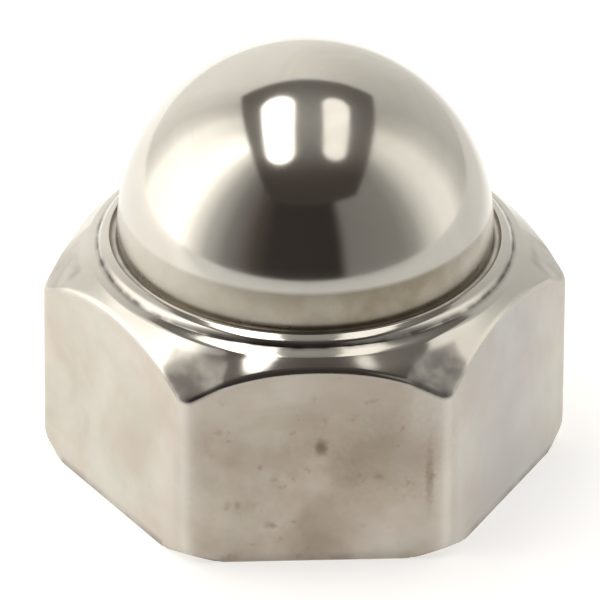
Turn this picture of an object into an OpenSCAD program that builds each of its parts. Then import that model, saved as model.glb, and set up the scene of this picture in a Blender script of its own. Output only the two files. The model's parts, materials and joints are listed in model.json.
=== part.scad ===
// Domed cap nut, one solid turned from hexagonal bar.
// The origin is the middle of the bearing face, +Z points to the top of the dome, and a flat faces -Y.

/* [Hexagon] */
// Distance across the flats
across_flats = 13; // [12.6:0.1:16]
// Height at which the upper chamfer leaves the shoulder
hexagon_height = 6.5; // [5:0.05:7]
// Slope of the upper chamfer, in degrees from level
chamfer_angle = 42.5; // [36:0.5:50]
// Radius that rounds the upright edges of the hexagon
edge_round = 0.55; // [0.2:0.05:1]
// Angle at which that round meets the flats, in degrees
edge_angle = 6; // [3:1:20]

/* [Bearing face] */
// How far the lower chamfer reaches in from the sharp corners of the hexagon
foot_relief = 0.5; // [0.2:0.05:0.9]
// Slope of the lower chamfer, in degrees from level
foot_angle = 35; // [20:1:45]

/* [Dome] */
// Height from the bearing face to the top of the dome
overall_height = 12.52; // [11.6:0.04:13.2]
// Diameter of the upright skirt below the dome
skirt_dia = 10.66; // [9.8:0.02:10.8]
// Height from the bearing face to the upper edge of the skirt
skirt_height = 8.1; // [7.6:0.02:8.8]
// Width of the narrow ledge where the dome stands on the skirt
ledge_width = 0.06; // [0.02:0.01:0.2]

/* [Collar] */
// Width of the groove round the foot of the skirt
groove_width = 0.22; // [0.14:0.02:0.3]
// Depth of the groove below the inner edge of the bead
groove_depth = 0.22; // [0.12:0.02:0.4]
// Width of the bead outside the groove
bead_width = 0.34; // [0.24:0.02:0.5]
// Height of the bead's steep outer flank
flank_height = 0.13; // [0.06:0.01:0.2]
// Slope of that flank, in degrees from level
flank_angle = 58; // [45:1:75]
// Slope of the bead's top, in degrees from level
bead_angle = 34; // [20:1:40]
// Width of the bevel that breaks the bead's inner edge
bead_break = 0.06; // [0.02:0.01:0.08]
// Width of the sloping shoulder between the bead and the chamfer
shoulder_width = 0.28; // [0.1:0.02:0.4]
// Slope of that shoulder, in degrees from level
shoulder_angle = 30; // [20:1:35]

/* [Thread] */
// Nominal diameter of the thread
thread_dia = 8; // [6:0.5:8]
// Pitch of the thread
thread_pitch = 1.25; // [0.75:0.25:1.5]
// Thickness of the metal above the drill point
top_wall = 1.4; // [0.8:0.1:3]
// Angle of the drill point at the blind end, in degrees
point_angle = 118; // [90:1:140]
// Diameter of the countersink at the mouth
countersink_dia = 8.7; // [8.2:0.1:10]
// Angle of the countersink, in degrees
countersink_angle = 90; // [60:10:120]

/* [Hidden] */
$fn = 96;
sides = 6;
sector = 360 / sides;
// How far every cut runs past the surface that it opens
overrun = 1;
// Depth of an internal thread on the diameter, in pitches
thread_depth_share = 1.0825;

flat_r = across_flats / 2;
corner_r = flat_r / cos(sector / 2);
blank_r = corner_r + overrun;
edge_center_r = (flat_r - edge_round * cos(edge_angle)) / cos(sector / 2);
edge_cut_r = edge_center_r + edge_round * cos(sector / 2);

// The dome is the cap of a sphere with this base and this rise
skirt_r = skirt_dia / 2;
dome_base_r = skirt_r - ledge_width;
dome_rise = overall_height - skirt_height;
dome_r = (dome_base_r ^ 2 + dome_rise ^ 2) / (2 * dome_rise);

// The collar is stacked outwards from the skirt, and upwards from the chamfer
bead_in_r = skirt_r + groove_width;
bead_out_r = bead_in_r + bead_width;
shoulder_r = bead_out_r + shoulder_width;
bead_foot_z = hexagon_height + shoulder_width * tan(shoulder_angle);
bead_edge_r = bead_out_r - flank_height / tan(flank_angle);
bead_edge_z = bead_foot_z + flank_height;
bead_top_z = bead_edge_z + (bead_edge_r - bead_in_r) * tan(bead_angle);
groove_z = bead_top_z - groove_depth;

bearing_r = corner_r - foot_relief;
bore_r = (thread_dia - thread_depth_share * thread_pitch) / 2;
bore_tip = overall_height - top_wall;
bore_top = bore_tip - bore_r / tan(point_angle / 2);
countersink_r = countersink_dia / 2;
countersink_tan = tan(countersink_angle / 2);
countersink_top = (countersink_r - bore_r) / countersink_tan;

// Heights of the upper chamfer, of the lower chamfer and of the bead's top at a radius
function chamfer_z(r) = hexagon_height - (r - shoulder_r) * tan(chamfer_angle);
function foot_z(r) = (r - bearing_r) * tan(foot_angle);
function bead_z(r) = bead_edge_z + (bead_edge_r - r) * tan(bead_angle);

// What is taken off one corner of the hexagon to round it
module edge_cut() {
    difference() {
        translate([edge_cut_r, -edge_round])
            square([blank_r - edge_cut_r, 2 * edge_round]);
        translate([edge_center_r, 0])
            circle(r = edge_round);
    }
}

// Section of the bar: a hexagon with rounded corners
module bar_section() {
    difference() {
        circle(r = corner_r, $fn = sides);
        for (k = [0 : sides - 1])
            rotate(k * sector)
                edge_cut();
    }
}

// Half of the dome's section, which stands on the skirt
module dome_section() {
    intersection() {
        translate([0, overall_height - dome_r])
            circle(r = dome_r);
        translate([0, skirt_height])
            square([dome_r, dome_rise + overrun]);
    }
}

// Half of the section below the dome: the hexagon between its two chamfers, the collar and the skirt
module body_section() {
    polygon([
        [0, 0],
        [bearing_r, 0],
        [blank_r, foot_z(blank_r)],
        [blank_r, chamfer_z(blank_r)],
        [shoulder_r, hexagon_height],
        [bead_out_r, bead_foot_z],
        [bead_edge_r, bead_edge_z],
        [bead_in_r + bead_break, bead_z(bead_in_r + bead_break)],
        [bead_in_r, bead_top_z - bead_break],
        [bead_in_r, groove_z],
        [skirt_r, groove_z],
        [skirt_r, skirt_height],
        [0, skirt_height]
    ]);
}

// Half of the whole turned section
module turned_section() {
    dome_section();
    body_section();
}

// Half of the section of the blind tapping hole, from its countersunk mouth to the drill point
module hole_section() {
    polygon([
        [0, -overrun],
        [countersink_r + overrun * countersink_tan, -overrun],
        [bore_r, countersink_top],
        [bore_r, bore_top],
        [0, bore_tip]
    ]);
}

module cap_nut() {
    color([0.77, 0.74, 0.68])
        difference() {
            intersection() {
                translate([0, 0, -overrun])
                    linear_extrude(height = overall_height + 2 * overrun)
                        bar_section();
                rotate_extrude()
                    turned_section();
            }
            rotate_extrude()
                hole_section();
        }
}

cap_nut();
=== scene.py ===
"""Looks of a domed cap nut: a fine mesh with its real thread, the metal, the studio and the camera.

Sizes are in millimetres until the mesh is made. Those of the solid carry the names that the part's source
gives them.
"""

import json
import math

import bpy
import numpy as np
from mathutils import Matrix, Vector, noise as pattern


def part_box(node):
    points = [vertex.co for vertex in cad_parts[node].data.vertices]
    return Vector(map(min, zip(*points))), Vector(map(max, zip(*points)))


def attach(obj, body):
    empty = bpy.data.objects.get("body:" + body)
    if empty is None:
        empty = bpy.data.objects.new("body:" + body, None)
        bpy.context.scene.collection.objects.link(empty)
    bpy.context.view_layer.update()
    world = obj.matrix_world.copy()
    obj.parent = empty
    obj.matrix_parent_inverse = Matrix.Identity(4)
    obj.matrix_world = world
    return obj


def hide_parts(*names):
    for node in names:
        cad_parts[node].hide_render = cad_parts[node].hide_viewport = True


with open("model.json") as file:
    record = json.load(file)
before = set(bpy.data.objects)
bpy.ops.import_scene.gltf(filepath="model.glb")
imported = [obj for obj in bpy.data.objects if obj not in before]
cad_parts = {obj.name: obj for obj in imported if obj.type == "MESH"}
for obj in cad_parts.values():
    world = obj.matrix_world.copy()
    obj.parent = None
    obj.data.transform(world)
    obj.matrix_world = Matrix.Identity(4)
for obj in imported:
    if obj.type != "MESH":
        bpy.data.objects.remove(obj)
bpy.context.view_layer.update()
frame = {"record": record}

MM = 0.001
PER_MM = 1000
NODE = "cap_nut"

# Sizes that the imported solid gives
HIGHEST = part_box(NODE)[1] / MM
TIP_R = HIGHEST.x
FLAT_R = HIGHEST.y
OVERALL_HEIGHT = HIGHEST.z
THREAD = next(m for m in frame["record"]["mounts"] if m["name"] == "thread")
BORE_R = THREAD["dims"]["r_mm"]
BORE_MIDDLE = THREAD["pos_m"][2] / MM
BORE_TOP = BORE_MIDDLE + THREAD["dims"]["length_mm"] / 2

# Sizes of the hexagon, as in the part's source
SIDES = 6
SECTOR = 2 * math.pi / SIDES
HEXAGON_HEIGHT = 6.5
CHAMFER_SLOPE = math.tan(math.radians(42.5))
EDGE_ROUND = 0.55
EDGE_ANGLE = math.radians(6)
EDGE_CENTER_R = TIP_R - EDGE_ROUND
FOOT_RELIEF = 0.5
BEARING_R = FLAT_R / math.cos(SECTOR / 2) - FOOT_RELIEF
FOOT_SLOPE = math.tan(math.radians(35))

# Sizes of the dome and its collar, where the bead, the shoulder and the groove are flatter than in the solid
SKIRT_R = 5.33
SKIRT_HEIGHT = 8.1
LEDGE_WIDTH = 0.06
DOME_BASE_R = SKIRT_R - LEDGE_WIDTH
GROOVE_WIDTH, GROOVE_DEPTH = 0.22, 0.18
BEAD_WIDTH = 0.34
BEAD_IN_R = SKIRT_R + GROOVE_WIDTH
BEAD_OUT_R = BEAD_IN_R + BEAD_WIDTH
BEAD_SLOPE = math.tan(math.radians(27.5))
FLANK_HEIGHT = 0.15
FLANK_SLOPE = math.tan(math.radians(58))
BEAD_EDGE_R = BEAD_OUT_R - FLANK_HEIGHT / FLANK_SLOPE
SHOULDER_WIDTH = 0.28
SHOULDER_R = BEAD_OUT_R + SHOULDER_WIDTH
SHOULDER_SLOPE = math.tan(math.radians(25.5))
BEAD_FOOT_Z = HEXAGON_HEIGHT + (SHOULDER_R - BEAD_OUT_R) * SHOULDER_SLOPE
BEAD_EDGE_Z = BEAD_FOOT_Z + FLANK_HEIGHT
BEAD_TOP_Z = BEAD_EDGE_Z + (BEAD_EDGE_R - BEAD_IN_R) * BEAD_SLOPE
GROOVE_Z = BEAD_TOP_Z - GROOVE_DEPTH
DOME_RISE = OVERALL_HEIGHT - SKIRT_HEIGHT
DOME_R = (DOME_BASE_R ** 2 + DOME_RISE ** 2) / (2 * DOME_RISE)

# The chamfer is bowed: it starts flatter than its mean slope and ends steeper at the corners
BOW_START_SLOPE = math.tan(math.radians(38.5))
BOW = (CHAMFER_SLOPE - BOW_START_SLOPE) / (TIP_R - SHOULDER_R) ** 2
# Each of its corners is pressed flat: how far out that starts, its slope and how softly it joins the rest
FACET_OUT = 0.35
FACET_SLOPE = math.tan(math.radians(45.6))
FACET_SOFTNESS = 0.008
# It is also a little steeper in the middle of the front: where, over what angle and by how much
STEEP_TURN, STEEP_WIDTH = math.radians(271), math.radians(8)
STEEP_SLOPE = 0.08
# To the left of that it is dished: where, over what angle, how far out and how deep
DISH_TURN, DISH_WIDTH = math.radians(245), math.radians(5)
DISH_OUT, DISH_DEPTH = 0.85, 0.03

# Sizes of the threaded hole
PITCH = 1.25
MAJOR_R = 4.0
COUNTERSINK_R = 4.35
POINT_ANGLE = math.radians(118)
BORE_TIP = BORE_TOP + BORE_R / math.tan(POINT_ANGLE / 2)
# The thread fades out over this height, and ends this share of it below the drill point
THREAD_FADE, THREAD_STOP = 1.6, 0.15
# Shares of one pitch that the thread's crest, each of its flanks and its root take up
CREST_SHARE = 0.25
FLANK_SHARE = 0.3125
ROOT_SHARE = 0.125

# How far the edges are broken, from the bearing face up
FOOT_BREAK = 0.05
TOP_BREAK = 0.15
BEAD_BREAK = 0.085
BEAD_INNER_BREAK = 0.06
# At the corners the lower edge is rounded more, for each millimetre that the lower chamfer rises
CORNER_BREAK = 1.3
# Shares of the lower chamfer, the bead's flank and the groove that their rounding may take up
FOOT_ROOM = 0.9
CREASE_ROOM = 0.3
GROOVE_ROOM = 0.49

# How finely the mesh is cut: columns on half a rounded edge and on half a flat, and rows on each surface
ROUND_COLUMNS, FLAT_COLUMNS = 5, 28
BREAK_STEPS = 5
BEARING_STEPS, BEARING_EDGE_STEPS = 8, 3
FLAT_STEPS, CHAMFER_STEPS = 24, 20
SHOULDER_STEPS, BEAD_STEPS = 3, 4
SKIRT_STEPS, DOME_STEPS = 9, 46
CREST_STEPS, FLANK_STEPS, ROOT_STEPS = 2, 3, 2
# Shares of the hole's radius at which the drill point gets a ring
POINT_RINGS = (0.75, 0.5, 0.25, 0.08)

# Where a rounded edge meets its flat: the angle on the round, how far out, and the angle at the axis
LEAVE_ANGLE = SECTOR / 2 - EDGE_ANGLE
LEAVE_R = EDGE_CENTER_R + EDGE_ROUND * math.cos(LEAVE_ANGLE)
EDGE_TURN = math.atan2(EDGE_ROUND * math.sin(LEAVE_ANGLE), LEAVE_R)


def reach(turn):
    """Distance from the axis to the hexagon's side, at an angle from the nearest corner."""
    if abs(turn) > EDGE_TURN:
        return FLAT_R / math.cos(SECTOR / 2 - abs(turn))
    across = EDGE_ROUND ** 2 - (EDGE_CENTER_R * math.sin(turn)) ** 2
    return EDGE_CENTER_R * math.cos(turn) + math.sqrt(across)


def sector_turns():
    """Angles of the columns from a corner to the next one, close together on the rounded edges."""
    half_flat = FLAT_R * math.tan(SECTOR / 2 - EDGE_TURN)
    on_round = np.linspace(0, EDGE_TURN, ROUND_COLUMNS, endpoint=False)
    on_flat = SECTOR / 2 - np.arctan(np.linspace(half_flat, 0, FLAT_COLUMNS, endpoint=False) / FLAT_R)
    half = np.concatenate([on_round, on_flat])
    return np.concatenate([half, [SECTOR / 2], SECTOR - half[:0:-1]])


TURNS = np.concatenate([sector_turns() + k * SECTOR for k in range(SIDES)])
COLUMNS = len(TURNS)
REACHES = np.array([reach((t + SECTOR / 2) % SECTOR - SECTOR / 2) for t in TURNS])


def smooth_step(value, low, high):
    """0 on one side of a range, 1 on the other, and smooth between them."""
    share = np.clip((value - low) / (high - low), 0, 1)
    return share * share * (3 - 2 * share)


def nearness(turn, middle, width):
    """1 in a direction from the axis, falling to 0 on both sides of it."""
    return np.exp(-((turn % (2 * math.pi) - middle) / width) ** 2)


def corner_angle(turn):
    """Angle of a direction from the nearest corner of the hexagon."""
    return np.abs((turn + SECTOR / 2) % SECTOR - SECTOR / 2)


def bowed_z(out, steeper=0.0):
    """Height of the bowed cone of the upper chamfer, at a distance out from the shoulder."""
    return HEXAGON_HEIGHT - out * (BOW_START_SLOPE + steeper + BOW * out ** 2)


def chamfer_z(r, turn):
    """Height of the upper chamfer at a radius, in a direction from the axis."""
    out = r - SHOULDER_R
    share = np.clip(out / DISH_OUT, 0, 1)
    dish = DISH_DEPTH * nearness(turn, DISH_TURN, DISH_WIDTH) * 4 * share * (1 - share)
    cone = bowed_z(out, STEEP_SLOPE * nearness(turn, STEEP_TURN, STEEP_WIDTH)) - dish
    along = r * np.cos(corner_angle(turn)) - SHOULDER_R
    facet = bowed_z(FACET_OUT) - (along - FACET_OUT) * FACET_SLOPE
    gap = np.sqrt((cone - facet) ** 2 + FACET_SOFTNESS ** 2)
    return (cone + facet - gap) / 2


def foot_z(r):
    """Height of the lower chamfer at a radius, which is level inside the bearing face's edge."""
    return max(0.0, r - BEARING_R) * FOOT_SLOPE


def line(start, end, steps):
    """Points from the start of a straight wall up to just before its end."""
    return [start + (end - start) * k / steps for k in range(steps)]


def arc(center, radius, first, last, steps):
    """Points on a circle from one angle to another, both included."""
    angles = np.linspace(first, last, steps + 1)
    return [center + radius * np.array([math.cos(a), math.sin(a)]) for a in angles]


def broken(before, corner, after, setback):
    """Points that round off a corner of the section, from one wall to the next."""
    start = corner + setback * (before - corner) / np.linalg.norm(before - corner)
    end = corner + setback * (after - corner) / np.linalg.norm(after - corner)
    shares = np.linspace(0, 1, BREAK_STEPS + 1)
    return [(1 - t) ** 2 * start + 2 * t * (1 - t) * corner + t ** 2 * end for t in shares]


def point(r, z):
    """A point of the half section."""
    return np.array([r, z])


def side_section(turn, side_r):
    """Half section from the countersink's rim to the shoulder, where the side is side_r away."""
    rim = point(COUNTERSINK_R, 0)
    bearing = point(min(BEARING_R, side_r - 2 * FOOT_BREAK), 0)
    foot = point(side_r, foot_z(side_r))
    top = point(side_r, chamfer_z(side_r, turn))
    inner_r = side_r - TOP_BREAK
    room = float(np.linalg.norm(foot - bearing))
    lower = broken(bearing, foot, top, min(FOOT_BREAK + CORNER_BREAK * foot[1], FOOT_ROOM * room))
    upper = broken(foot, top, point(inner_r, chamfer_z(inner_r, turn)), TOP_BREAK)
    rows = [("bearing", p) for p in line(rim, bearing, BEARING_STEPS)]
    rows += [("bearing", p) for p in line(bearing, lower[0], BEARING_EDGE_STEPS)]
    rows += [("outside", p) for p in lower[:-1]]
    rows += [("outside", p) for p in line(lower[-1], upper[0], FLAT_STEPS)]
    rows += [("outside", p) for p in upper[:-1]]
    chamfer_radii = np.linspace(upper[-1][0], SHOULDER_R, CHAMFER_STEPS, endpoint=False)
    rows += [("outside", point(r, chamfer_z(r, turn))) for r in chamfer_radii]
    return rows


def collar_section():
    """Half section of the shoulder, the bead and the groove, up to the skirt's wall."""
    shoulder = point(SHOULDER_R, HEXAGON_HEIGHT)
    bead_foot = point(BEAD_OUT_R, BEAD_FOOT_Z)
    bead_edge = point(BEAD_EDGE_R, BEAD_EDGE_Z)
    bead_top = point(BEAD_IN_R, BEAD_TOP_Z)
    groove_out = point(BEAD_IN_R, GROOVE_Z)
    groove_in = point(SKIRT_R, GROOVE_Z)
    skirt = point(SKIRT_R, BEAD_TOP_Z)
    groove_round = GROOVE_ROOM * GROOVE_WIDTH
    crease = broken(shoulder, bead_foot, bead_edge, CREASE_ROOM * FLANK_HEIGHT)
    outer = broken(bead_foot, bead_edge, bead_top, BEAD_BREAK)
    inner = broken(bead_edge, bead_top, groove_out, BEAD_INNER_BREAK)
    floor_out = broken(bead_top, groove_out, groove_in, groove_round)
    floor_in = broken(groove_out, groove_in, skirt, groove_round)
    path = line(shoulder, crease[0], SHOULDER_STEPS) + crease + outer
    path += line(outer[-1], inner[0], BEAD_STEPS)[1:] + inner + floor_out + floor_in
    return [("outside", p) for p in path]


def dome_section(foot):
    """Half section of the skirt, which tapers smoothly into the dome, up to just below the top."""
    base = point(DOME_BASE_R, SKIRT_HEIGHT)
    middle = point(0, OVERALL_HEIGHT - DOME_R)
    first = math.asin((SKIRT_HEIGHT - middle[1]) / DOME_R)
    lean_start = point(SKIRT_R, SKIRT_HEIGHT - (SKIRT_R - DOME_BASE_R) / math.tan(first))
    taper = broken(foot, lean_start, base, float(np.linalg.norm(base - lean_start)))
    dome = arc(middle, DOME_R, first, math.pi / 2, DOME_STEPS)
    path = line(foot, taper[0], SKIRT_STEPS)[1:] + taper[:-1] + dome[:-1]
    return [("outside", p) for p in path]


def groove_depth(share):
    """Depth of the thread's groove at a share of the pitch, 0 on the crest and 1 at the root."""
    root_start = CREST_SHARE + FLANK_SHARE
    root_end = root_start + ROOT_SHARE
    return float(np.interp(share, [0, CREST_SHARE, root_start, root_end, 1], [0, 0, 1, 1, 0]))


def hole_radius(z, share):
    """Radius of the hole's wall: the thread, or the countersink where that is wider."""
    fade = min(1.0, max(0.0, (BORE_TOP - z) / THREAD_FADE - THREAD_STOP))
    thread = BORE_R + (MAJOR_R - BORE_R) * fade * groove_depth(share)
    return max(thread, COUNTERSINK_R - z)


def pitch_shares():
    """Shares of a pitch at which the thread gets a row of points."""
    root_start = CREST_SHARE + FLANK_SHARE
    root_end = root_start + ROOT_SHARE
    return np.concatenate([
        np.linspace(0, CREST_SHARE, CREST_STEPS, endpoint=False),
        np.linspace(CREST_SHARE, root_start, FLANK_STEPS, endpoint=False),
        np.linspace(root_start, root_end, ROOT_STEPS, endpoint=False),
        np.linspace(root_end, 1, FLANK_STEPS, endpoint=False),
    ])


class Surface:
    """Collects the points and faces of one closed mesh, ring by ring."""

    def __init__(self):
        self.points = []
        self.faces = []
        self.zones = []

    def add_point(self, turn, r, z):
        self.points.append((r * math.cos(turn), r * math.sin(turn), z))
        return len(self.points) - 1

    def add_ring(self, radii, heights):
        return [self.add_point(t, r, z) for t, r, z in zip(TURNS, radii, heights)]

    def add_face(self, zone, *corners):
        """Adds a face, without the corners that fall together."""
        kept = [c for k, c in enumerate(corners) if c != corners[k - 1]]
        if len(kept) > 2:
            self.faces.append(kept)
            self.zones.append(zone)

    def join(self, zone, lower, upper):
        """Joins two rings, one of which may be a single point, with the outside to the right going up."""
        for j in range(COLUMNS):
            after = (j + 1) % COLUMNS
            self.add_face(zone, lower[j], lower[after], upper[after], upper[j])


def add_thread(surface):
    """Adds the threaded wall, with rows of points that climb with the thread, and gives its two end rings.

    A row climbs by one pitch in a turn, so it meets the row that starts one pitch higher.
    """
    low, high = 0.0, BORE_TOP
    shares = pitch_shares()
    per_pitch = len(shares)
    pitches = math.ceil((high - low) / PITCH) + 1
    starts = [low + (k - 1 + s) * PITCH for k in range(pitches) for s in shares]
    starts.append(low + (pitches - 1) * PITCH)
    phases = list(shares) * pitches + [0.0]
    lower = surface.add_ring([COUNTERSINK_R] * COLUMNS, [low] * COLUMNS)
    upper = surface.add_ring([BORE_R] * COLUMNS, [high] * COLUMNS)
    rows = []
    for start, phase in zip(starts, phases):
        row = []
        for j, turn in enumerate(TURNS):
            z = start + PITCH * turn / (2 * math.pi)
            if z <= low:
                row.append(lower[j])
            elif z >= high:
                row.append(upper[j])
            else:
                row.append(surface.add_point(turn, hole_radius(z, phase), z))
        rows.append(row)
    last = len(rows) - 1
    for i in range(last):
        for j in range(COLUMNS - 1):
            surface.add_face("bore", rows[i][j], rows[i + 1][j], rows[i + 1][j + 1], rows[i][j + 1])
        near = rows[min(i + per_pitch, last)][0]
        far = rows[min(i + per_pitch + 1, last)][0]
        surface.add_face("bore", rows[i][-1], rows[i + 1][-1], far, near)
    return lower, upper


def build_surface():
    """The whole nut as one closed surface, from the drill point through the hole and up the outside."""
    surface = Surface()
    rim, ring = add_thread(surface)
    for share in POINT_RINGS:
        z = BORE_TOP + (1 - share) * (BORE_TIP - BORE_TOP)
        inner = surface.add_ring([share * BORE_R] * COLUMNS, [z] * COLUMNS)
        surface.join("bore", inner, ring)
        ring = inner
    tip = surface.add_point(0, 0, BORE_TIP)
    surface.join("bore", [tip] * COLUMNS, ring)

    sides = [side_section(t, r) for t, r in zip(TURNS, REACHES)]
    collar = collar_section()
    dome = dome_section(collar[-1][1])
    ring = rim
    for row in range(1, len(sides[0])):
        zone = sides[0][row][0]
        radii = [side[row][1][0] for side in sides]
        heights = [side[row][1][1] for side in sides]
        upper = surface.add_ring(radii, heights)
        surface.join(zone, ring, upper)
        ring = upper
    for zone, (r, z) in collar + dome:
        upper = surface.add_ring([r] * COLUMNS, [z] * COLUMNS)
        surface.join(zone, ring, upper)
        ring = upper
    top = surface.add_point(0, 0, OVERALL_HEIGHT)
    surface.join("outside", ring, [top] * COLUMNS)
    return surface


# Depth of the dents that tumbling left, and how many there are to the millimetre
FLAT_DENT, FLAT_DENTS_PER_MM = 0.014, 0.4
CHAMFER_DENT, CHAMFER_DENTS_PER_MM = 0.005, 0.8
# The dents fade in over this distance out from the shoulder, and between these heights
DENTS_IN = 0.15
DENTS_LOW, DENTS_HIGH = 0.3, 0.8
# Depths below the chamfer between which its finish goes over into that of the flats
CHAMFER_END, FLAT_START = 0.02, 0.15
# The shoulder sags a little to the right of the front: where, over what angle, how far out and how deep
SAG_TURN, SAG_WIDTH = math.radians(292), math.radians(9)
SAG_OUT, SAG_DEPTH = 0.6, 0.036


def sagged(points):
    """How far the shoulder and the top of the chamfer lie below their true heights."""
    r = np.hypot(points[:, 0], points[:, 1])
    turn = np.arctan2(points[:, 1], points[:, 0])
    inside = smooth_step(r, BEAD_EDGE_R, SHOULDER_R)
    outside = smooth_step(r, SHOULDER_R + SAG_OUT, SHOULDER_R)
    on_top = points[:, 2] > HEXAGON_HEIGHT / 2
    return SAG_DEPTH * inside * outside * on_top * nearness(turn, SAG_TURN, SAG_WIDTH)


def dented(points):
    """The points with the flats and the chamfer beaten in a little, as far as their edges."""
    r = np.hypot(points[:, 0], points[:, 1])
    z = points[:, 2]
    turn = np.arctan2(points[:, 1], points[:, 0])
    on_chamfer = smooth_step(chamfer_z(r, turn) - z, FLAT_START, CHAMFER_END)
    wide = np.array([pattern.noise(Vector(p) * FLAT_DENTS_PER_MM) for p in points])
    narrow = np.array([pattern.noise(Vector(p) * CHAMFER_DENTS_PER_MM) for p in points])
    flat_depth = (1 - on_chamfer) * FLAT_DENT * (0.5 + 0.5 * wide)
    depth = flat_depth + on_chamfer * CHAMFER_DENT * narrow
    depth *= smooth_step(r, SHOULDER_R, SHOULDER_R + DENTS_IN) * smooth_step(z, DENTS_LOW, DENTS_HIGH)
    away = r.clip(1)
    out = np.stack([points[:, 0] / away, points[:, 1] / away, on_chamfer], axis=1)
    out /= np.linalg.norm(out, axis=1, keepdims=True).clip(0.5)
    moved = points - depth[:, None] * out
    moved[:, 2] -= sagged(points)
    return moved


def add(tree, kind, inputs=None, **settings):
    """Adds a node. An input is a value or another node's output."""
    node = tree.nodes.new(kind)
    for name, value in settings.items():
        setattr(node, name, value)
    for name, value in (inputs or {}).items():
        if isinstance(value, bpy.types.NodeSocket):
            tree.links.new(value, node.inputs[name])
        else:
            node.inputs[name].default_value = value
    return node


def noise(tree, place, per_mm, detail=4.0, roughness=0.55, distortion=0.0):
    """A noise pattern with so many features to the millimetre."""
    inputs = {"Vector": place, "Scale": per_mm * PER_MM, "Detail": detail, "Roughness": roughness}
    return add(tree, "ShaderNodeTexNoise", {**inputs, "Distortion": distortion}).outputs[0]


def spread(tree, value, low, high, to_low=0.0, to_high=1.0):
    """Spreads a value from one range over another, and clips it there."""
    inputs = {"Value": value, "From Min": low, "From Max": high, "To Min": to_low, "To Max": to_high}
    return add(tree, "ShaderNodeMapRange", inputs, interpolation_type="SMOOTHSTEP").outputs[0]


def math_node(tree, operation, first, second):
    """Works out a value from two others."""
    node = add(tree, "ShaderNodeMath", {0: first, 1: second}, operation=operation)
    return node.outputs[0]


# Sockets of a mix of two colours: its factor, the colours and the result
MIX_FACTOR, MIX_LOW, MIX_HIGH, MIX_RESULT = 0, 6, 7, 2


def tint(tree, factor, low, high):
    """Goes from one colour to another with a factor."""
    node = add(tree, "ShaderNodeMix", data_type="RGBA")
    for index, value in ((MIX_FACTOR, factor), (MIX_LOW, low), (MIX_HIGH, high)):
        if isinstance(value, bpy.types.NodeSocket):
            tree.links.new(value, node.inputs[index])
        else:
            node.inputs[index].default_value = value if index == MIX_FACTOR else (*value, 1)
    return node.outputs[MIX_RESULT]


def new_material(name):
    """A material with an empty metal shader, and the place that its patterns are laid out on."""
    material = bpy.data.materials.new(name)
    material.use_nodes = True
    tree = material.node_tree
    shader = tree.nodes["Principled BSDF"]
    shader.inputs["Metallic"].default_value = 1.0
    place = add(tree, "ShaderNodeTexCoord").outputs["Object"]
    return material, tree, shader, place


def stretched(tree, place, scale):
    """The place with its three axes stretched, for marks that run one way."""
    return add(tree, "ShaderNodeMapping", {"Vector": place, "Scale": scale}).outputs[0]


def finish_metal(tree, shader, colour, roughness, height, bump):
    """Links a metal's colour, its roughness and its relief."""
    tree.links.new(colour, shader.inputs["Base Color"])
    tree.links.new(roughness, shader.inputs["Roughness"])
    inputs = {"Strength": bump, "Distance": RELIEF_DEPTH * MM, "Height": height}
    tree.links.new(add(tree, "ShaderNodeBump", inputs).outputs[0], shader.inputs["Normal"])


def carried(tree, name):
    """A value that the mesh carries at its points."""
    return add(tree, "ShaderNodeAttribute", attribute_name=name).outputs["Fac"]


# Colours of the metal, polished and satin, paler and darker, the satin also where it is rosier
POLISHED_PALE, POLISHED_DARK = (0.665, 0.645, 0.59), (0.615, 0.59, 0.53)
SATIN_PALE, SATIN_DARK = (0.675, 0.66, 0.595), (0.6, 0.575, 0.5)
ROSY_PALE, ROSY_DARK = (0.69, 0.645, 0.58), (0.62, 0.56, 0.49)
# Colours of the marks on it; the stains and the grime also paint shade, and the wear paints a highlight
HAZE_COLOUR = (0.55, 0.545, 0.557)
SKIRT_STAIN_AND_SHADE_COLOUR, FLAT_STAIN_AND_SHADE_COLOUR = (0.27, 0.23, 0.165), (0.285, 0.212, 0.15)
GRIME_AND_SHADE_COLOUR = (0.15, 0.135, 0.13)
SPOT_COLOUR = (0.18, 0.13, 0.09)
WORN_AND_HIGHLIT_COLOUR = (0.74, 0.71, 0.65)
# Colours of the hole, dry and with cutting oil
DRY_BORE, OILY_BORE = (0.52, 0.50, 0.46), (0.34, 0.31, 0.27)

# How many features each pattern has to the millimetre
CLOUDS_PER_MM, PATCHES_PER_MM, ROSY_PER_MM = 0.3, 0.5, 0.55
SPECKLES_PER_MM, GRIME_AND_SHADE_PER_MM, PITS_PER_MM = 1.6, 1.2, 2.2
GRAIN_PER_MM, RAGS_PER_MM = 9, 6
OIL_PER_MM, TAP_LINES_PER_MM = 0.6, 2
TAP_STRETCH = (0.5, 0.5, 8)
# Parts of a noise's range that the patterns are spread from
MIDDLE, CLOUDY, ROSY = (0.3, 0.7), (0.35, 0.7), (0.35, 0.65)
ROUGHER, PITTED = (0.3, 0.75), (0.65, 0.77)
# Ranges that the patterns are spread to, as shares of the stain or the grime, both of which carry painted
# shade
SPECKLE_SHARES, PATCH_SHARES, GRIME_AND_SHADE_SHARES = (0.86, 1.0), (0.8, 1.14), (0.45, 1.4)
# Roughness of the polished metal, what the satin one has on top of that, and that of the hole
POLISHED_ROUGHNESS, SATIN_ROUGHNESS, BORE_ROUGHNESS = (0.09, 0.14), (0.3, 0.4), (0.38, 0.24)
# Dullness between which the metal starts to have pits and grain
ROUGH_CAST = (0.6, 1.0)
# How strong the pits, the wear and painted highlight of the upright edges and the relief are, and how deep
# the relief is
PITS, WEAR_AND_HIGHLIGHT = 0.45, 0.5
FLAT_RELIEF, BORE_RELIEF = 0.12, 0.3
RELIEF_DEPTH = 0.012

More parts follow.
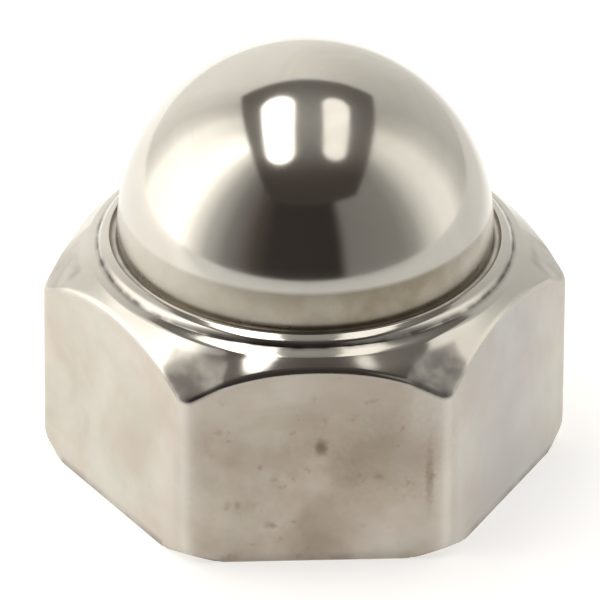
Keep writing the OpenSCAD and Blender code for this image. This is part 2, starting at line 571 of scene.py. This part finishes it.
# Brown marks on the front flat: across, up, width, height and strength
SPOTS = [
    (0.14, 3.73, 0.27, 0.4, 0.8), (1.76, 2.74, 0.24, 0.16, 0.3), (-1.31, 1.23, 0.26, 0.18, 0.32),
    (-2.21, 1.88, 0.12, 0.24, 0.28), (-2.72, 4.29, 0.22, 0.14, 0.25), (1.24, 2.81, 0.1, 0.12, 0.25),
    (-1.17, 2.71, 0.2, 0.12, 0.22), (3.2, 2.6, 0.18, 1.5, 0.36),
    (2.3, 3.5, 2.2, 1.9, 0.33), (-2.1, 3.2, 1.9, 1.8, 0.18),
]
# Distances at which a mark ends and is strongest, and what is added to the noise that tears its edge
SPOT_END, SPOT_CORE = 1.0, 0.1
RAG_SHIFT = 0.5


def spot_pattern(tree, place):
    """How strong the brown marks are, with ragged edges."""
    rags = math_node(tree, "ADD", noise(tree, place, RAGS_PER_MM, detail=3), RAG_SHIFT)
    total = 0.0
    for across, up, width, height, strength in SPOTS:
        middle = (across * MM, -FLAT_R * MM, up * MM)
        sizes = (width * MM, width * MM, height * MM)
        offset = add(tree, "ShaderNodeVectorMath", {0: place, 1: middle}, operation="SUBTRACT").outputs[0]
        shares = add(tree, "ShaderNodeVectorMath", {0: offset, 1: sizes}, operation="DIVIDE").outputs[0]
        away = add(tree, "ShaderNodeVectorMath", {0: shares}, operation="LENGTH").outputs["Value"]
        torn = math_node(tree, "MULTIPLY", away, rags)
        mark = spread(tree, torn, SPOT_END, SPOT_CORE, 0.0, strength)
        total = math_node(tree, "ADD", total, mark)
    return total


def clean_metal(tree, place, dull, cloud):
    """Colour of the bare metal, polished or satin, in random clouds of paler and darker tone."""
    clouded = spread(tree, cloud, *CLOUDY)
    rosy = spread(tree, noise(tree, place, ROSY_PER_MM, detail=3), *ROSY)
    light = tint(tree, rosy, SATIN_PALE, ROSY_PALE)
    dark_tone = tint(tree, rosy, SATIN_DARK, ROSY_DARK)
    polished = tint(tree, clouded, POLISHED_PALE, POLISHED_DARK)
    return tint(tree, dull, polished, tint(tree, clouded, light, dark_tone))


def stained_metal(tree, place, metal, patch, rough_cast):
    """Colour of the metal under its grey haze, its brown stain and its grime, the stain and the grime with
    painted shade.
    """
    speckle = spread(tree, noise(tree, place, SPECKLES_PER_MM), *MIDDLE, *SPECKLE_SHARES)
    patchy = spread(tree, patch, *MIDDLE, *PATCH_SHARES)
    mottle = math_node(tree, "MULTIPLY", carried(tree, "stain_and_shade"), patchy)
    mottle = math_node(tree, "MULTIPLY", mottle, speckle)
    hazy = tint(tree, carried(tree, "haze"), metal, HAZE_COLOUR)
    stain_and_shade_colour = tint(tree, rough_cast, SKIRT_STAIN_AND_SHADE_COLOUR, FLAT_STAIN_AND_SHADE_COLOUR)
    stained_and_shaded = tint(tree, mottle, hazy, stain_and_shade_colour)
    uneven = spread(tree, noise(tree, place, GRIME_AND_SHADE_PER_MM, detail=2), *MIDDLE, *GRIME_AND_SHADE_SHARES)
    grime_and_shade = math_node(tree, "MULTIPLY", carried(tree, "grime_and_shade"), uneven)
    return tint(tree, grime_and_shade, stained_and_shaded, GRIME_AND_SHADE_COLOUR)


def outer_metal():
    """The outside: a mirror where it was polished, satin with clouds, stains and spots where it was not,
    with painted shade in the stains and grime and a painted highlight on the worn edges.
    """
    material, tree, shader, place = new_material("cap_nut_steel")
    dull = carried(tree, "dull")
    cloud = noise(tree, place, CLOUDS_PER_MM, detail=6, roughness=0.6, distortion=0.8)
    patch = noise(tree, place, PATCHES_PER_MM, roughness=0.5)
    rough_cast = spread(tree, dull, *ROUGH_CAST)
    marked_and_shaded = stained_metal(tree, place, clean_metal(tree, place, dull, cloud), patch, rough_cast)
    pits = spread(tree, noise(tree, place, PITS_PER_MM, detail=2), *PITTED, 0.0, PITS)
    pitted = math_node(tree, "MULTIPLY", rough_cast, carried(tree, "stain_and_shade"))
    pits = math_node(tree, "MULTIPLY", pits, pitted)
    spots = math_node(tree, "ADD", spot_pattern(tree, place), pits)
    spotted = tint(tree, spots, marked_and_shaded, SPOT_COLOUR)
    # Paler worn metal on the upright edges, which also paints their highlight
    worn_and_highlit = math_node(tree, "MULTIPLY", carried(tree, "wear_and_highlight"), WEAR_AND_HIGHLIGHT)
    colour = tint(tree, worn_and_highlit, spotted, WORN_AND_HIGHLIT_COLOUR)
    base_rough = spread(tree, cloud, *ROUGHER, *POLISHED_ROUGHNESS)
    satin_rough = math_node(tree, "MULTIPLY", dull, spread(tree, patch, *MIDDLE, *SATIN_ROUGHNESS))
    roughness = math_node(tree, "ADD", base_rough, satin_rough)
    grain = noise(tree, place, GRAIN_PER_MM, detail=3)
    relief = math_node(tree, "MULTIPLY", rough_cast, math_node(tree, "SUBTRACT", grain, spots))
    finish_metal(tree, shader, colour, roughness, relief, FLAT_RELIEF)
    return material


def bore_metal():
    """Cut metal of the threaded hole, darker with cutting oil and ringed by the tap."""
    material, tree, shader, place = new_material("tapped_steel")
    oil = noise(tree, place, OIL_PER_MM, detail=5, distortion=0.5)
    lines = noise(tree, stretched(tree, place, TAP_STRETCH), TAP_LINES_PER_MM, detail=3)
    colour = tint(tree, spread(tree, oil, *CLOUDY), DRY_BORE, OILY_BORE)
    roughness = spread(tree, oil, *MIDDLE, *BORE_ROUGHNESS)
    finish_metal(tree, shader, colour, roughness, lines, BORE_RELIEF)
    return material


MATERIALS = [outer_metal(), bore_metal()]
SLOT_OF_ZONE = {"outside": 0, "bearing": 0, "bore": 1}

# How dull each zone is, where 0 is a mirror and 1 is satin
SKIRT_DULL, GROOVE_DULL, FACET_DULL = 0.5, 0.6, 0.35
# How stained the skirt is, by the direction in degrees, where 270 is the front; the extra darkness round the
# front is painted shade
SKIRT_STAINS_AND_SHADE = [
    (60, 0.5), (150, 0.4), (208, 0.28), (250, 0.62), (268, 0.7), (287, 0.92), (310, 0.88), (340, 0.4),
]
# How stained the six flats are, from the one to the right of +Y round to the front and on; most of the front
# flat's darkness is painted shade
FLAT_STAINS_AND_SHADE = [0.2, 0.3, 0.15, 0.1, 0.64, 0.06]
# Shares of a side between which its stain and painted shade are even
STAIN_EDGES = (0.07, 0.93)
# How much of the flats' stain fades away upwards, and between which heights, so that painted shade makes
# them darker towards the bottom
STAIN_AND_SHADE_FADE = 0.45
FADE_LOW, FADE_HIGH = 3, 6
# A cleaner patch on the front flat: its place across and up, its half width and height, and how clean
CLEAN_ACROSS, CLEAN_UP = 1.95, 0.95
CLEAN_WIDTH, CLEAN_HEIGHT = 1.4, 1.0
CLEAN = 0.5
# How much grey grime with painted shade there is in the groove, at the skirt's foot and in the bead's
# crease, and how much darker the facets are
GROOVE_GRIME_AND_SHADE, FOOT_GRIME_AND_SHADE, CREASE_GRIME_AND_SHADE, FACET_DARKENING = 0.3, 0.2, 0.85, 0.18
# How far it reaches up the skirt, and how wide it is in the crease
FOOT_RISE, CREASE_WIDTH = 0.5, 0.05
# How much darker the front facets are, round which direction, and how much darker the tips of the facets are
FRONT_FACET_DARKENING, TIP_DARKENING = 0.4, 0.15
FRONT_TURN, FRONT_WIDTH = math.radians(270), math.radians(60)
# How much painted shade there is along the flats' lower edges, how far up that reaches, and the share that
# is full of it
LOW_PAINTED_SHADE, LOW_RISE, LOW_FULL = 0.5, 0.16, 0.25
# Where the right flat is, over what angle it has a grey haze, and how much
HAZE_TURN, HAZE_WIDTH = math.radians(330), math.radians(24)
HAZE = 0.65
# How wide the wear and painted highlight along the upright edges is
WEAR_AND_HIGHLIGHT_WIDTH = 0.22
# Half the angle of a facet's finish, how softly it ends, and the share of FACET_OUT where it starts
FACET_TURN, FACET_FADE = math.radians(7.5), math.radians(1.0)
FACET_START = 0.5
# Heights and radii over which the finish goes over into that of the sides, the skirt and the groove
SIDE_HEIGHTS = (0.2 * FOOT_BREAK, 1.2 * FOOT_BREAK)
SKIRT_HEIGHTS = (SKIRT_HEIGHT + 0.03, SKIRT_HEIGHT - 0.15)
GROOVE_RADII = (BEAD_IN_R + 0.03, BEAD_IN_R - 0.02)
SKIRT_OUT_R = SKIRT_R + 0.01


def zones(r, z, turn):
    """How far each point belongs to each zone of the outside, from 0 to 1."""
    outer = (r > SHOULDER_R) | (z < HEXAGON_HEIGHT / 2)
    inner = 1 - outer
    flat = outer * smooth_step(chamfer_z(r, turn) - z, CHAMFER_END, FLAT_START)
    near_corner = smooth_step(corner_angle(turn), FACET_TURN + FACET_FADE, FACET_TURN - FACET_FADE)
    far_out = smooth_step(r - SHOULDER_R, FACET_START * FACET_OUT, FACET_OUT)
    return {
        "flat": flat,
        "side": flat * smooth_step(z, *SIDE_HEIGHTS),
        "facet": outer * (1 - flat) * near_corner * far_out,
        "skirt": inner * (r <= SKIRT_OUT_R) * smooth_step(z, *SKIRT_HEIGHTS),
        "groove": inner * (r > SKIRT_OUT_R) * smooth_step(r, *GROOVE_RADII),
        "crease": inner * np.exp(-((r - BEAD_OUT_R) / CREASE_WIDTH) ** 2),
    }


def side_stains_and_shade(points, turn):
    """How stained the flats are at each point, with painted shade on the front flat and towards the bottom.
    """
    edges = [SECTOR * (k + share) for k in range(SIDES) for share in STAIN_EDGES]
    stain_and_shade = np.interp(turn, edges, np.repeat(FLAT_STAINS_AND_SHADE, 2), period=2 * math.pi)
    stain_and_shade *= 1 - STAIN_AND_SHADE_FADE * smooth_step(points[:, 2], FADE_LOW, FADE_HIGH)
    across = (points[:, 0] - CLEAN_ACROSS) / CLEAN_WIDTH
    up = (points[:, 2] - CLEAN_UP) / CLEAN_HEIGHT
    return stain_and_shade * (1 - CLEAN * np.exp(-across ** 2 - up ** 2) * (points[:, 1] < 0))


def finishes(points):
    """How dull, stained, grimy, hazy and worn the outside is at each point, with painted shade in the stain
    and grime and a painted highlight in the wear.
    """
    r = np.hypot(points[:, 0], points[:, 1])
    z = points[:, 2]
    turn = np.arctan2(points[:, 1], points[:, 0])
    zone = zones(r, z, turn)
    # The skirt's stain, darker round the front with painted shade
    skirt_stain_and_shade = np.interp(np.degrees(turn), *zip(*SKIRT_STAINS_AND_SHADE), period=360)
    at_foot = zone["skirt"] * smooth_step(z, BEAD_TOP_Z + FOOT_RISE, BEAD_TOP_Z)
    low = zone["side"] * smooth_step(z, LOW_RISE, LOW_FULL * LOW_RISE)
    in_front = nearness(turn, FRONT_TURN, FRONT_WIDTH)
    to_tip = smooth_step(r, SHOULDER_R + FACET_OUT, TIP_R)
    # Grime with painted shade in the groove, at the skirt's foot and in the bead's crease
    grime_and_shade = zone["groove"] * GROOVE_GRIME_AND_SHADE + at_foot * FOOT_GRIME_AND_SHADE + zone["crease"] * CREASE_GRIME_AND_SHADE
    # Darker facets, more so at the front and at the tips
    grime_and_shade += zone["facet"] * (FACET_DARKENING + FRONT_FACET_DARKENING * in_front + TIP_DARKENING * to_tip)
    # Painted shade along the flats' lower edges
    grime_and_shade += low * LOW_PAINTED_SHADE
    dull = zone["flat"] + zone["skirt"] * SKIRT_DULL
    dull += zone["groove"] * GROOVE_DULL + zone["facet"] * FACET_DULL
    return {
        "dull": dull,
        # The stain carries painted shade too: darker on the front flat and low on the flats
        "stain_and_shade": zone["side"] * side_stains_and_shade(points, turn) + zone["skirt"] * skirt_stain_and_shade,
        "grime_and_shade": grime_and_shade,
        "haze": zone["side"] * nearness(turn, HAZE_TURN, HAZE_WIDTH) * HAZE,
        # Wear along the upright edges, which also paints their highlight
        "wear_and_highlight": zone["side"] * np.exp(-(r * np.sin(corner_angle(turn)) / WEAR_AND_HIGHLIGHT_WIDTH) ** 2),
    }


def make_nut():
    """Makes the nut's mesh, smooth and with a material for each zone."""
    surface = build_surface()
    points = dented(np.array(surface.points))
    mesh = bpy.data.meshes.new("cap_nut_body")
    mesh.from_pydata((points * MM).tolist(), [], surface.faces)
    for material in MATERIALS:
        mesh.materials.append(material)
    slots = [SLOT_OF_ZONE[zone] for zone in surface.zones]
    mesh.polygons.foreach_set("material_index", slots)
    mesh.shade_smooth()
    for name, values in finishes(points).items():
        mesh.attributes.new(name, "FLOAT", "POINT").data.foreach_set("value", values)
    mesh.validate()
    nut = bpy.data.objects.new("cap_nut_body", mesh)
    bpy.context.scene.collection.objects.link(nut)
    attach(nut, "root")
    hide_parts(NODE)


# The studio: a white tent with two light strips, a bright left wall and a dark opening in front
TENT_HEIGHT = 120
TENT_R = 125
FLOOR_HALF = 600
# The floor lies this much below the bearing face
FLOOR_Z = -0.01
FLOOR_COLOUR = (0.92, 0.915, 0.9)
FLOOR_GLOW = 0.5
# The floor is shaded in front and on the right, from one distance to the other
FLOOR_SHADE = 0.72
SHADE_START, SHADE_END = 9, 26
# Tones of the roof, where 1 is white, and its edges as shares of its height
ROOF_TONE, ROOF_FRONT_TONE, ROOF_MIDDLE_TONE = 0.15, 0.07, 0.37
ROOF_LEFT, ROOF_RIGHT, ROOF_BACK = -0.56, 0.66, 0.76
# Where its front tone goes over into the other, and the place, width and length of its lighter middle
ROOF_FRONT = (-0.5, -0.2)
GLOW_ALONG, GLOW_WIDTH, GLOW_LENGTH = 0.1, 0.45, 0.4
# How far it reaches past the wall, and how many cells it has each way
ROOF_OVERLAP = 3
ROOF_CELLS = 32
# Strips: place across and along, width and length as shares of the roof's height, turn and brightness
STRIPS = {
    "strip_left": (-0.236, 0.043, 0.28, 0.82, math.radians(4.5), 3.0),
    "strip_right": (0.258, 0.035, 0.23, 0.75, 0.0, 1.45),
}
STRIP_LEVEL = 0.98
STRIP_POINTS = 48
# Tones of the tent's wall, where 1 is white, by the angle to the right of straight ahead
WALL_TONES = [
    (-180, 1.0), (-150, 1.08), (-135, 0.95), (-127, 1.2), (-120, 1.7), (-84, 2.2), (-74, 1.25), (-64, 0.6),
    (-52, 0.28), (-34, 0.09), (-24, 0.05), (17, 0.045), (23, 0.25), (56, 0.3), (66, 0.43), (76, 0.8),
    (88, 1.15), (100, 1.2), (112, 0.8), (125, 0.64), (150, 0.74), (180, 1.0),
]
# Heights of the tent's wall, as shares of the roof's height, by the same angle
WALL_TOPS = [
    (-180, 1.2), (-150, 1.3), (-120, 1.6), (-90, 1.9), (-48, 1.45), (-33, 1.0),
    (33, 1.0), (48, 1.4), (90, 1.7), (130, 1.3), (180, 1.2),
]
# How much of its tone the wall keeps at the top, by the same angle
WALL_FADES = [
    (-180, 1.0), (-150, 0.8), (-135, 0.6), (-110, 0.6), (-85, 1.0), (85, 1.0), (110, 0.8), (180, 1.0),
]
# Degrees from one column of the wall to the next, and the levels of its rows, of which the last one fades
WALL_STEP = 2
WALL_LEVELS = (0, 0.25, 1)
# Colours of dark and pale cards, and the tones between which one goes over into the other
DARK_CARD, PALE_CARD = (1, 0.83, 0.77), (1, 0.97, 0.92)
WARM_TONES = (0.06, 0.3)


def make_world():
    """A plain white surround."""
    world = bpy.data.worlds.new("white_studio")
    world.use_nodes = True
    back = world.node_tree.nodes["Background"]
    back.inputs["Color"].default_value = (1, 1, 1, 1)
    back.inputs["Strength"].default_value = 1.0
    bpy.context.scene.world = world


def add_sheet(name, points, faces, material):
    """Adds a piece of the studio, which is not part of the nut."""
    mesh = bpy.data.meshes.new(name)
    mesh.from_pydata([(x * MM, y * MM, z * MM) for x, y, z in points], [], faces)
    mesh.materials.append(material)
    sheet = bpy.data.objects.new(name, mesh)
    bpy.context.scene.collection.objects.link(sheet)
    return sheet


def seen_directly(tree):
    """1 for rays that show the background: those of the camera, of mirrors and of glass."""
    path = add(tree, "ShaderNodeLightPath").outputs
    either = math_node(tree, "MAXIMUM", path["Is Camera Ray"], path["Is Glossy Ray"])
    return math_node(tree, "MAXIMUM", either, path["Is Transmission Ray"])


def make_floor():
    """A pale floor that keeps the nut's shadow."""
    material = bpy.data.materials.new("pale_floor")
    material.use_nodes = True
    tree = material.node_tree
    shader = tree.nodes["Principled BSDF"]
    shader.inputs["Roughness"].default_value = 1.0
    shader.inputs["Specular IOR Level"].default_value = 0.0
    shader.inputs["Emission Color"].default_value = (1, 1, 1, 1)
    place = add(tree, "ShaderNodeTexCoord").outputs["Object"]
    axes = add(tree, "ShaderNodeSeparateXYZ", {"Vector": place}).outputs
    ahead = math_node(tree, "MULTIPLY", axes["Y"], -1.0)
    away = math_node(tree, "MAXIMUM", ahead, axes["X"])
    light = spread(tree, away, SHADE_START * MM, SHADE_END * MM, 1.0, FLOOR_SHADE)
    shaded = [FLOOR_SHADE * part for part in FLOOR_COLOUR]
    share = spread(tree, away, SHADE_START * MM, SHADE_END * MM)
    tree.links.new(tint(tree, share, FLOOR_COLOUR, shaded), shader.inputs["Base Color"])
    glow = math_node(tree, "MULTIPLY", seen_directly(tree), math_node(tree, "MULTIPLY", light, FLOOR_GLOW))
    tree.links.new(glow, shader.inputs["Emission Strength"])
    signs = ((-1, -1), (1, -1), (1, 1), (-1, 1))
    corners = [(x * FLOOR_HALF, y * FLOOR_HALF, FLOOR_Z) for x, y in signs]
    add_sheet("floor", corners, [(0, 1, 2, 3)], material)


def card_material(name):
    """A card that gives each point the tone that its mesh carries, warmer where that is dark."""
    material = bpy.data.materials.new(name)
    material.use_nodes = True
    tree = material.node_tree
    tree.nodes.clear()
    tone = add(tree, "ShaderNodeAttribute", attribute_name="tone").outputs["Fac"]
    colour = tint(tree, spread(tree, tone, *WARM_TONES), DARK_CARD, PALE_CARD)
    glow = add(tree, "ShaderNodeEmission", {"Color": colour, "Strength": tone})
    add(tree, "ShaderNodeOutputMaterial", {"Surface": glow.outputs[0]})
    return material


def add_card(name, points, faces, tones):
    """Adds a card of the tent, which doesn't stand in the camera's way."""
    card = add_sheet(name, points, faces, card_material(name))
    tone = card.data.attributes.new("tone", "FLOAT", "POINT")
    tone.data.foreach_set("value", tones)
    card.visible_camera = False


def make_wall():
    """The tent's curved wall with its dark opening in front."""
    angles = np.arange(-180, 180 + WALL_STEP, WALL_STEP)
    tones = np.interp(angles, *zip(*WALL_TONES))
    fades = np.interp(angles, *zip(*WALL_FADES))
    tops = np.interp(angles, *zip(*WALL_TOPS)) * TENT_HEIGHT
    around = [(TENT_R * math.sin(a), -TENT_R * math.cos(a)) for a in np.radians(angles)]
    count = len(angles)
    points = [(x, y, z * level) for level in WALL_LEVELS for (x, y), z in zip(around, tops)]
    starts = [row * count + j for row in range(len(WALL_LEVELS) - 1) for j in range(count - 1)]
    faces = [(j, j + 1, count + j + 1, count + j) for j in starts]
    add_card("tent_wall", points, faces, np.concatenate([tones, tones, tones * fades]))


def make_roof():
    """The tent's dark roof, which reaches the wall in front and is lighter between the strips."""
    h = TENT_HEIGHT
    reach_r = TENT_R + ROOF_OVERLAP
    points, faces, tones = [], [], []
    for i in range(ROOF_CELLS + 1):
        y = -reach_r + (ROOF_BACK * h + reach_r) * i / ROOF_CELLS
        rim = math.sqrt(max(0.0, reach_r ** 2 - y ** 2))
        left = max(-rim, ROOF_LEFT * h)
        right = min(rim, ROOF_RIGHT * h)
        base = float(np.interp(y / h, ROOF_FRONT, [ROOF_FRONT_TONE, ROOF_TONE]))
        along = (y / h - GLOW_ALONG) / GLOW_LENGTH
        for k in range(ROOF_CELLS + 1):
            x = left + (right - left) * k / ROOF_CELLS
            across = x / h / GLOW_WIDTH
            near = math.exp(-across ** 2 - along ** 2)
            points.append((x, y, h))
            tones.append(base + (ROOF_MIDDLE_TONE - base) * near)
    row = ROOF_CELLS + 1
    for i in range(ROOF_CELLS):
        for k in range(ROOF_CELLS):
            j = i * row + k
            faces.append((j, j + 1, j + row + 1, j + row))
    add_card("tent_roof", points, faces, tones)


def add_strip(name, across, along, width, length, turn, radiance):
    """A soft strip light with round ends under the roof. Its face has a brightness, where 1 is white."""
    h = TENT_HEIGHT
    radius = width * h / 2
    straight = length * h / 2 - radius
    points = []
    for angle in np.linspace(0, 2 * math.pi, STRIP_POINTS, endpoint=False):
        side = radius * math.cos(angle)
        ahead = radius * math.sin(angle) + math.copysign(straight, math.sin(angle))
        x = across * h + side * math.cos(turn) + ahead * math.sin(turn)
        y = along * h + ahead * math.cos(turn) - side * math.sin(turn)
        points.append((x, y, STRIP_LEVEL * h))
    add_card(name, points, [tuple(reversed(range(len(points))))], [radiance] * len(points))


def make_strips():
    """Two strips under the roof, the left one brighter."""
    for name, values in STRIPS.items():
        add_strip(name, *values)


# The camera at the photo's viewing angle, found by fitting the hexagon's corners and edges
CAMERA_AZIMUTH = math.radians(-3.07)
CAMERA_ELEVATION = math.radians(30.82)
CAMERA_ROLL = math.radians(0.44)
CAMERA_DISTANCE = 351.8
CAMERA_LENS = 742.9
CAMERA_SENSOR = 36
CAMERA_AIM_HEIGHT = 5.185
# How far the middle of the picture is to the left of the aim and below it
CAMERA_LEFT = 0.14
CAMERA_DOWN = 0.428
# Nearest and farthest distance that it shows, in metres
CAMERA_NEAR, CAMERA_FAR = 0.01, 3


def make_camera():
    """Makes the camera, which looks down at the nut from the front."""
    azimuth, elevation = CAMERA_AZIMUTH, CAMERA_ELEVATION
    flat_back = Vector((math.sin(azimuth), -math.cos(azimuth), 0))
    back = flat_back * math.cos(elevation) + Vector((0, 0, math.sin(elevation)))
    level = Vector((math.cos(azimuth), math.sin(azimuth), 0))
    upright = back.cross(level)
    right = level * math.cos(CAMERA_ROLL) + upright * math.sin(CAMERA_ROLL)
    up = back.cross(right)
    middle = Vector((0, 0, CAMERA_AIM_HEIGHT)) - right * CAMERA_LEFT - up * CAMERA_DOWN
    data = bpy.data.cameras.new("camera")
    data.lens = CAMERA_LENS
    data.sensor_width = CAMERA_SENSOR
    data.clip_start = CAMERA_NEAR
    data.clip_end = CAMERA_FAR
    camera = bpy.data.objects.new("camera", data)
    turned = Matrix((right, up, back)).transposed().to_4x4()
    camera.matrix_world = Matrix.Translation((middle + back * CAMERA_DISTANCE) * MM) @ turned
    bpy.context.scene.collection.objects.link(camera)
    bpy.context.scene.camera = camera


bpy.context.scene.view_settings.view_transform = "Standard"
make_nut()
make_world()
make_floor()
make_wall()
make_roof()
make_strips()
make_camera()
